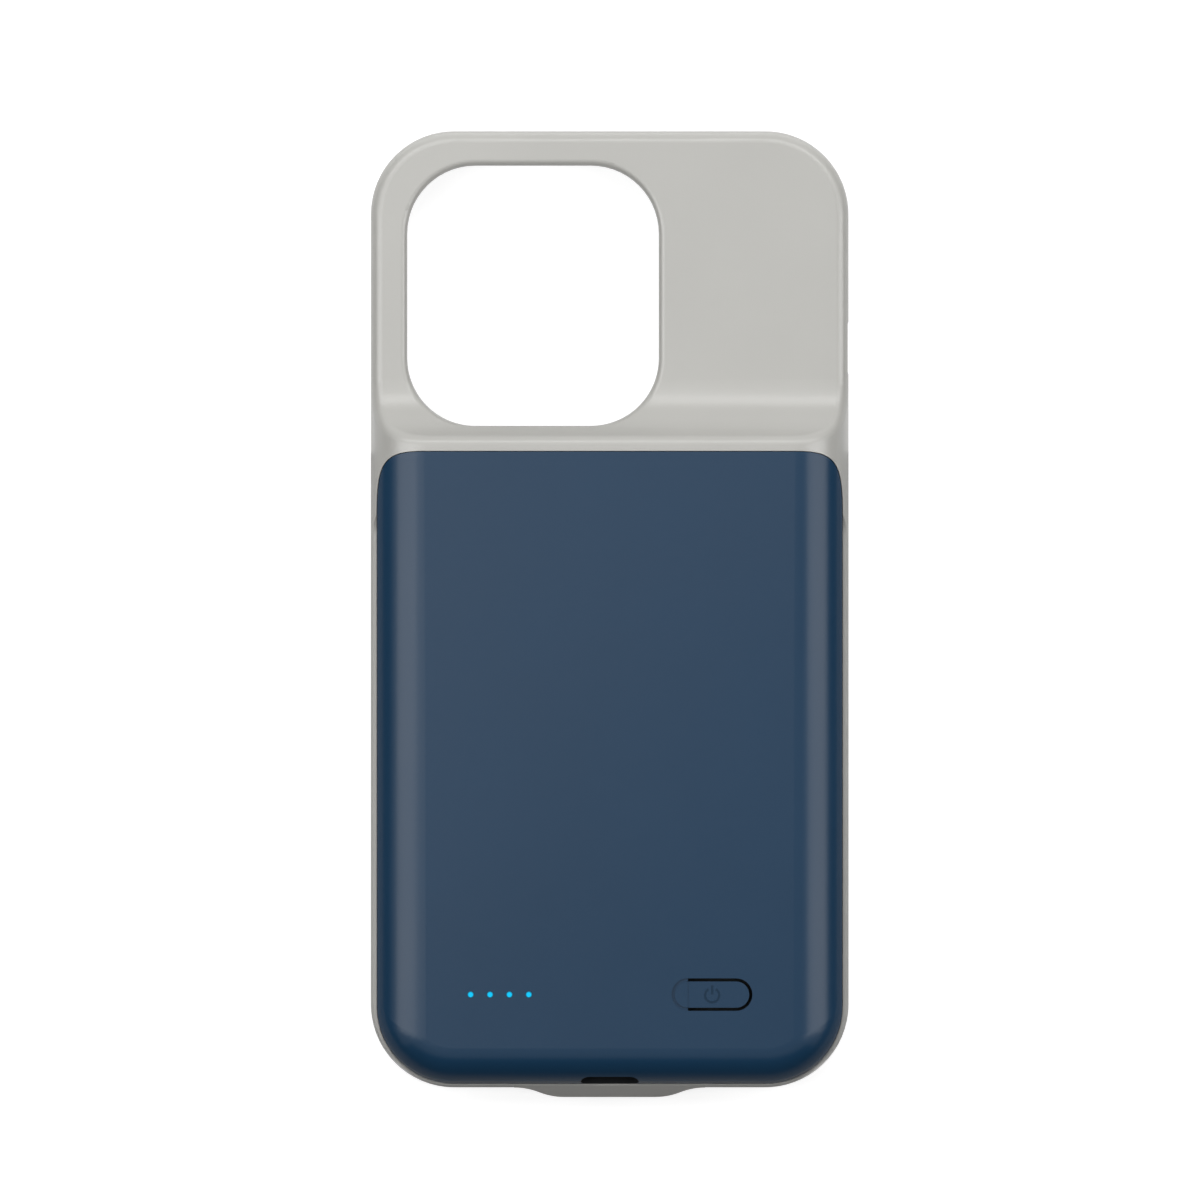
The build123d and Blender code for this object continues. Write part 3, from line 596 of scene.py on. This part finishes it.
def bar_row_tree():
    """Bars set along a line, such as a connector's contacts or a chip's pads."""
    inputs = [
        ("Count", "NodeSocketInt"),
        ("First", "NodeSocketVector"),
        ("Step", "NodeSocketVector"),
        ("Size", "NodeSocketVector"),
        ("Material", "NodeSocketMaterial"),
    ]
    tree, given, out = geometry_tree("bar_row", inputs)
    course = {"Count": given["Count"], "Start Location": given["First"], "Offset": given["Step"]}
    line = add(tree, "GeometryNodeMeshLine", course)
    bar = add(tree, "GeometryNodeMeshCube", {"Size": given["Size"]})
    hand_out(tree, line.outputs[0], bar.outputs["Mesh"], given["Material"], out)
    return tree


def copies_tree():
    """Copies of one shape, set on the points of a mesh."""
    inputs = [
        ("Points", "NodeSocketGeometry"),
        ("Shape", "NodeSocketObject"),
        ("Material", "NodeSocketMaterial"),
    ]
    tree, given, out = geometry_tree("copies_on_points", inputs)
    shape = add(tree, "GeometryNodeObjectInfo", {"Object": given["Shape"]})
    hand_out(tree, given["Points"], shape.outputs["Geometry"], given["Material"], out)
    return tree


def run_tree(tree, values, base=None):
    """Runs a geometry tree on a mesh and returns the result as a plain mesh."""
    host = bpy.data.objects.new("host", base or bpy.data.meshes.new("host"))
    bpy.context.scene.collection.objects.link(host)
    modifier = host.modifiers.new("tree", "NODES")
    modifier.node_group = tree
    for item in tree.interface.items_tree:
        if item.in_out == "INPUT" and item.name in values:
            modifier[item.identifier] = values[item.name]
    mesh = finished_mesh(host)
    bpy.data.objects.remove(host)
    return mesh


def finished_mesh(host):
    """Mesh of an object with its modifiers worked in."""
    graph = bpy.context.evaluated_depsgraph_get()
    mesh = bpy.data.meshes.new_from_object(host.evaluated_get(graph))
    host.modifiers.clear()
    return mesh


def bar_rows(name, rows, material):
    """Rows of bars as one mesh, each row with its count, first middle, step and bar size."""
    tree = bar_row_tree()
    meshes = []
    for count, first, step, size in rows:
        values = {"Count": count, "First": first, "Step": step, "Size": size, "Material": material}
        meshes.append(run_tree(tree, values))
    return joined(name, meshes)


# Steps that dress the case
class CASE_OT_mouldings(bpy.types.Operator):
    """Finishes the frame, the cover, the button and the tray"""

    bl_idname = "case.mouldings"
    bl_label = "Mouldings"

    def execute(self, context):
        colours, finish, _, _ = settings()
        soft, fine = finish.frame_grain_depth, finish.cover_grain_depth
        grey = moulded("soft_grey", colours.frame_grey, soft, finish.frame_roughness, ior=finish.frame_ior)
        navy = moulded("navy_satin", colours.cover_navy, fine, finish.cover_roughness, ior=finish.cover_ior)
        # Paints shade into the charge slot of the cover
        paint_slot_shade(navy.node_tree, colours.slot_painted_shade)
        tray = moulded("tray_charcoal", colours.tray_charcoal, soft, roughness=0.5)
        dress("phone_frame", grey)
        dress("battery_cover", navy)
        dress("power_button", navy)
        dress("inner_tray", tray)
        return {"FINISHED"}


class CASE_OT_electronics(bpy.types.Operator):
    """Finishes the cell, the boards and what stands on them"""

    bl_idname = "case.electronics"
    bl_label = "Electronics"

    def execute(self, context):
        colours, finish, _, _ = settings()
        depth = finish.frame_grain_depth
        dress("battery_cell", foil_skin("cell_foil", colours.foil))
        dress("cell_tape", moulded("pale_tape", colours.tape_cream, depth, roughness=0.5, grain=0.4 * MM))
        mask = solder_mask("solder_mask", colours.board_black)
        for node in ("protection_board", "main_board", "plug_board"):
            dress(node, mask)
        dress("positive_lead", moulded("red_lead", colours.lead_red, depth, roughness=0.4))
        dress("negative_lead", moulded("black_lead", colours.lead_black, depth, roughness=0.4))
        core = colours.moulding_black
        black = moulded("black_moulding", core, depth, roughness=0.6, ior=1.3, grain=0.1 * MM)
        for node in ("port_tongue", "plug_core", "controller_chip", "switch_body", "switch_plunger"):
            dress(node, black)
        powder = moulded("ferrite", colours.ferrite, depth * 2, roughness=0.6, grain=0.3 * MM)
        dress("boost_inductor", powder)
        middle = islands("board_capacitors")[0][0].y
        ceramic, ends = colours.ceramic, colours.ceramic_ends
        sizes = {"middle": middle, "half": 0.5 * MM}
        chips = banded("capacitor_ceramic", ceramic, ends, **sizes, roughness=0.35, metal_ends=True)
        dress("board_capacitors", chips)
        middle = islands("indicator_leds")[0][0].y
        window, body = colours.lamp_window, colours.lamp_body
        sizes = {"middle": middle, "half": 0.25 * MM}
        dress("indicator_leds", banded("led_package", window, body, **sizes, roughness=0.4))
        dress("ribbon_cable", striped_film("amber_film", colours.film_amber, colours.film_copper))
        dress("ribbon_socket", moulded("ivory_moulding", colours.socket_ivory, depth, roughness=0.4))
        return {"FINISHED"}


class CASE_OT_connectors(bpy.types.Operator):
    """Finishes the metal shells and adds rows of contacts to the socket, the plug and the chip"""

    bl_idname = "case.connectors"
    bl_label = "Connectors"

    def execute(self, context):
        colours, _, details, _ = settings()
        dress("phone_plug", metal("stamped_steel", colours.steel, roughness=0.3))
        dress("port_shell", metal("black_plating", colours.dark_steel, roughness=0.4))
        gold = metal("gold_contact", colours.gold, roughness=0.25)
        tin = metal("tin_pad", colours.pad_tin, roughness=0.35)

        low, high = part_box("port_tongue")
        proud, from_tip = 0.005 * MM, 2.1 * MM
        rows = self.contacts(details, low.y + from_tip, (low.z - proud, high.z + proud))
        piece("port_contacts", bar_rows("port_contacts", rows, gold), "case")

        low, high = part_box("plug_core")
        middle, off, from_tip = (low.z + high.z) / 2, 0.36 * MM, 2.2 * MM
        rows = self.contacts(details, high.y - from_tip, (middle - off, middle + off))
        piece("plug_contacts", bar_rows("plug_contacts", rows, gold), "case")

        rows = self.pads(details)
        piece("chip_pads", bar_rows("chip_pads", rows, tin), "case")
        return {"FINISHED"}

    def contacts(self, details, along, levels):
        """Rows of contacts across a connector, at two levels."""
        count, pitch = details.contact_count, details.contact_pitch
        start = -pitch * (count - 1) / 2
        size = (pitch / 2, details.contact_long, details.contact_thick)
        return [(count, (start, along, z), (pitch, 0, 0), size) for z in levels]

    def pads(self, details):
        """Rows of pads along the four sides of the chip."""
        low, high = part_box("controller_chip")
        count, pitch = details.pad_count, details.pad_pitch
        wide, deep, thick = details.pad_width, details.pad_long, details.pad_thick
        start = -pitch * (count - 1) / 2
        across, along = (low.x + high.x) / 2 + start, (low.y + high.y) / 2 + start
        z = low.z + thick / 2
        rows = [(count, (across, y, z), (pitch, 0, 0), (wide, deep, thick)) for y in (low.y, high.y)]
        rows += [(count, (x, along, z), (0, pitch, 0), (deep, wide, thick)) for x in (low.x, high.x)]
        return rows


class CASE_OT_screws(bpy.types.Operator):
    """Sets countersunk screws with a cross recess in place of the plain ones"""

    bl_idname = "case.screws"
    bl_label = "Screws"

    def execute(self, context):
        colours, _, details, _ = settings()
        steel = metal("zinc_screw", colours.steel, roughness=0.32, line=0.03 * MM)
        dress("tray_screws", steel)
        places = islands("tray_screws")
        low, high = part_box("tray_screws")
        head = places[0][1].x / 2 / MM
        tall = (high.z - low.z) / MM
        screw = bpy.data.objects.new("screw", self.turned_mesh(head, tall))
        cross = bpy.data.objects.new("cross", self.cross_mesh(details, head))
        for made in (screw, cross):
            bpy.context.scene.collection.objects.link(made)
        cut = screw.modifiers.new("recess", "BOOLEAN")
        cut.object = cross
        cut.operation = "DIFFERENCE"
        cut.use_self = True
        screw.data = finished_mesh(screw)
        screw.data.transform(Matrix.Scale(MM, 4))
        bpy.data.objects.remove(cross)
        spots = bpy.data.meshes.new("spots")
        spots.from_pydata([(centre.x, centre.y, low.z) for centre, _ in places], [], [])
        whole = run_tree(copies_tree(), {"Shape": screw, "Material": steel}, spots)
        bpy.data.objects.remove(screw)
        whole.set_sharp_from_angle(angle=math.radians(35))
        piece("cross_screws", whole, "case", ["tray_screws"])
        if len(whole.polygons) < len(places) * TURN_STEPS:
            raise RuntimeError("the screws came out empty")
        return {"FINISHED"}

    def turned_mesh(self, head, tall):
        """Countersunk screw in millimetres, turned from its half section, with the head's face at 0."""
        shank, tip = 0.8, 0.5
        rim, cone, taper = 0.02, 0.7, 0.3
        cap = [(0, 0), (head, 0), (head, rim)]
        profile = [*cap, (shank, cone), (shank, tall - taper), (tip, tall), (0, tall)]
        mesh = bmesh.new()
        points = [mesh.verts.new((radius, 0, z)) for radius, z in profile]
        edges = [mesh.edges.new(pair) for pair in zip(points, points[1:])]
        turn = {"cent": (0, 0, 0), "axis": (0, 0, 1), "angle": 2 * math.pi, "steps": TURN_STEPS}
        bmesh.ops.spin(mesh, geom=points + edges, use_duplicate=False, **turn)
        bmesh.ops.remove_doubles(mesh, verts=mesh.verts, dist=1e-4)
        bmesh.ops.recalc_face_normals(mesh, faces=mesh.faces)
        return plain_mesh("screw", mesh)

    def cross_mesh(self, details, head):
        """Tapered cross in millimetres that cuts the drive recess."""
        arm, bottom_share = 1.25 * head, 0.45
        mesh = bmesh.new()
        for turn in (0, math.pi / 2):
            made = bmesh.ops.create_cube(mesh, size=1.0)["verts"]
            for vert in made:
                vert.co.x *= arm * (bottom_share if vert.co.z > 0 else 1.0)
                vert.co.y *= details.drive_width / MM
                vert.co.z *= 2 * details.drive_depth / MM
            bmesh.ops.rotate(mesh, verts=made, cent=(0, 0, 0), matrix=Matrix.Rotation(turn, 3, "Z"))
        return plain_mesh("cross", mesh)


class CASE_OT_lights(bpy.types.Operator):
    """Lights the charge dots"""

    bl_idname = "case.lights"
    bl_label = "Charge lights"

    def execute(self, context):
        dress("light_guide", lit_guide("lit_guide", settings()[0].light_cyan))
        return {"FINISHED"}


class CASE_OT_power_sign(bpy.types.Operator):
    """Prints the tone-on-tone power sign on the button"""

    bl_idname = "case.power_sign"
    bl_label = "Power sign"

    def execute(self, context):
        colours, finish, details, _ = settings()
        depth = finish.cover_grain_depth
        ink = moulded("sign_ink", colours.sign_navy, depth, roughness=0.35, ior=finish.sign_ior)
        low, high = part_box("power_button")
        radius = details.sign_radius
        middle = Vector((details.sign_x, (low.y + high.y) / 2 - details.sign_drop, BACK))
        opening = math.radians(62)
        start, sweep = (math.pi + opening) / 2, 2 * math.pi - opening
        turns = [start + sweep * i / TURN_STEPS for i in range(TURN_STEPS + 1)]
        mesh = bmesh.new()
        self.strip(mesh, middle, [(radius * math.cos(a), radius * math.sin(a)) for a in turns], details)
        bar_top, bar_foot = 1.42 * radius, 0.12 * radius
        self.strip(mesh, middle, [(0, bar_top), (0, bar_foot)], details)
        bmesh.ops.recalc_face_normals(mesh, faces=mesh.faces)
        result = plain_mesh("power_sign", mesh)
        result.materials.append(ink)
        piece("power_sign", result, "button")
        return {"FINISHED"}

    def strip(self, mesh, middle, points, details):
        """Flat printed line through the points, a little proud of the button."""
        stroke, tall = details.sign_stroke, details.sign_height
        rings = []
        for i, point in enumerate(points):
            before, after = points[max(i - 1, 0)], points[min(i + 1, len(points) - 1)]
            way = (Vector(after) - Vector(before)).normalized() * stroke / 2
            ring = []
            for side, z in ((1, -tall), (1, tall), (-1, tall), (-1, -tall)):
                spot = (point[0] - side * way.y, point[1] + side * way.x, z)
                ring.append(mesh.verts.new(middle + Vector(spot)))
            rings.append(ring)
        for one, two in zip(rings, rings[1:]):
            for i in range(4):
                mesh.faces.new((one[i], one[(i + 1) % 4], two[(i + 1) % 4], two[i]))
        mesh.faces.new(rings[0])
        mesh.faces.new(rings[-1])


class CASE_OT_stage(bpy.types.Operator):
    """Sets the floor, the cards, the soft studio lamps, the surroundings and the camera"""

    bl_idname = "case.stage"
    bl_label = "Stage"

    def execute(self, context):
        colours, _, _, stage = settings()
        context.scene.view_settings.view_transform = "Standard"
        self.floor(colours, stage)
        self.flags(colours, stage)
        for name, place, aim, size, level in LAMPS:
            self.lamp(name, Vector(place), Vector(aim), size, getattr(stage, level))
        self.surroundings(stage)
        self.camera(stage)
        return {"FINISHED"}

    def floor(self, colours, stage):
        """Wide pale floor that keeps the shadow and shows as white."""
        made, tree, skin = new_material("floor_white")
        place = object_place(tree)
        paper = noise(tree, place, scale=900.0)
        base = mottled(tree, paper, colours.floor_white, low=0.99, high=1.01)
        link(tree, base, skin.inputs["Base Color"])
        away = add(tree, "ShaderNodeVectorMath", {0: place}, operation="LENGTH").outputs["Value"]
        glow = ramp(tree, away, stage.glow_near, stage.glow_far, stage.floor_glow, 1.0)
        link(tree, maths(tree, "MULTIPLY", seen_rays(tree), glow), skin.inputs["Emission Strength"])
        skin.inputs["Emission Color"].default_value = (1, 1, 1, 1)
        skin.inputs["Roughness"].default_value = 0.7
        skin.inputs["Specular IOR Level"].default_value = 0.0
        half = stage.floor_half
        corners = self.level_cards([(-half, -half, half, half)], CAD_BOX[0].z - stage.floor_drop)
        self.sheet("floor", made, corners)

    def flags(self, colours, stage):
        """Dark cards round the case and grey mats beside it, which only the case's skin sees."""
        corners = [(*end, z) for a, b, tall in CARDS for end, z in ((a, 0), (b, 0), (b, tall), (a, tall))]
        low, high = CAD_BOX
        reach, lift = stage.mat_reach, stage.mat_lift
        cover_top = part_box("battery_cover")[1].y
        front = [(-reach, CARD_FRONT, reach, low.y)]
        sides = [(-reach, low.y, low.x, cover_top), (high.x, low.y, reach, cover_top)]
        for name, tint, points in (
            ("flags", colours.flag_black, corners),
            ("mat", colours.mat_grey, self.level_cards(front, lift)),
            ("side_mats", colours.side_grey, self.level_cards(sides, lift)),
        ):
            made, tree, skin = new_material(name + "_card")
            nap = noise(tree, object_place(tree), scale=400.0)
            link(tree, mottled(tree, nap, tint, low=0.9, high=1.1), skin.inputs["Base Color"])
            skin.inputs["Roughness"].default_value = 0.9
            card = self.sheet(name, made, points)
            card.visible_camera = False
            card.visible_shadow = False

    def level_cards(self, plans, z):
        """Corners of level cards at one height, each from its left, front, right and rear edge."""
        return [(x, y, z) for a, b, c, d in plans for x, y in ((a, b), (c, b), (c, d), (a, d))]

    def sheet(self, name, material, corners):
        """Cards of four corners each, as one object of the stage."""
        mesh = bpy.data.meshes.new(name)
        mesh.from_pydata(corners, [], [(i, i + 1, i + 2, i + 3) for i in range(0, len(corners), 4)])
        mesh.materials.append(material)
        made = bpy.data.objects.new(name, mesh)
        bpy.context.scene.collection.objects.link(made)
        return made

    def lamp(self, name, place, aim, size, level):
        """Soft rectangular lamp of a given radiance, turned to a point."""
        light = bpy.data.lights.new(name, "AREA")
        light.shape = "RECTANGLE"
        light.size, light.size_y = size
        light.energy = level * WATTS_FOR_RADIANCE * size[0] * size[1]
        made = bpy.data.objects.new(name, light)
        bpy.context.scene.collection.objects.link(made)
        made.visible_camera = False
        turn = (aim - place).to_track_quat("-Z", "Y").to_matrix().to_4x4()
        made.matrix_world = Matrix.Translation(place) @ turn

    def surroundings(self, stage):
        """Pale surroundings that show as white and fill the shadows."""
        world = bpy.data.worlds.new("surroundings")
        world.use_nodes = True
        bpy.context.scene.world = world
        tree = world.node_tree
        tree.nodes.clear()
        level = ramp(tree, seen_rays(tree), 0.0, 1.0, stage.fill_level, 1.0)
        sky = add(tree, "ShaderNodeBackground", {"Color": (1, 1, 1, 1), "Strength": level})
        add(tree, "ShaderNodeOutputWorld", {"Surface": sky.outputs[0]})

    def camera(self, stage):
        """Camera high over the case, looking straight down."""
        lens = bpy.data.cameras.new("camera")
        made = bpy.data.objects.new("camera", lens)
        bpy.context.scene.collection.objects.link(made)
        made.location = (stage.camera_x, stage.camera_y, stage.camera_height)
        lens.sensor_width = 36
        lens.lens = lens.sensor_width * (stage.camera_height - stage.shoulder_height) / stage.view_width
        lens.clip_end = 20
        bpy.context.scene.camera = made


# Add-on
STEPS = (
    CASE_OT_mouldings,
    CASE_OT_electronics,
    CASE_OT_connectors,
    CASE_OT_screws,
    CASE_OT_lights,
    CASE_OT_power_sign,
    CASE_OT_stage,
)


class CASE_PT_panel(bpy.types.Panel):
    """Lists the steps that dress the case"""

    bl_label = "Charging case"
    bl_idname = "CASE_PT_panel"
    bl_space_type = "VIEW_3D"
    bl_region_type = "UI"
    bl_category = "Charging case"

    def draw(self, context):
        for step in STEPS:
            self.layout.operator(step.bl_idname)
        for group in settings():
            for name in group.__annotations__:
                self.layout.prop(group, name)


GROUPS = {
    "case_colours": CaseColours,
    "case_finish": CaseFinish,
    "case_details": CaseDetails,
    "case_stage": CaseStage,
}


def register():
    """Registers the groups of properties, the steps and the panel."""
    for name, group in GROUPS.items():
        bpy.utils.register_class(group)
        setattr(bpy.types.Scene, name, PointerProperty(type=group))
    for step in (*STEPS, CASE_PT_panel):
        bpy.utils.register_class(step)


def unregister():
    """Takes out what register put in."""
    for step in (CASE_PT_panel, *reversed(STEPS)):
        bpy.utils.unregister_class(step)
    for name, group in GROUPS.items():
        delattr(bpy.types.Scene, name)
        bpy.utils.unregister_class(group)


def main():
    """Runs every step in order."""
    register()
    for step in STEPS:
        group, name = step.bl_idname.split(".")
        getattr(getattr(bpy.ops, group), name)()


if __name__ == "__main__":
    main()
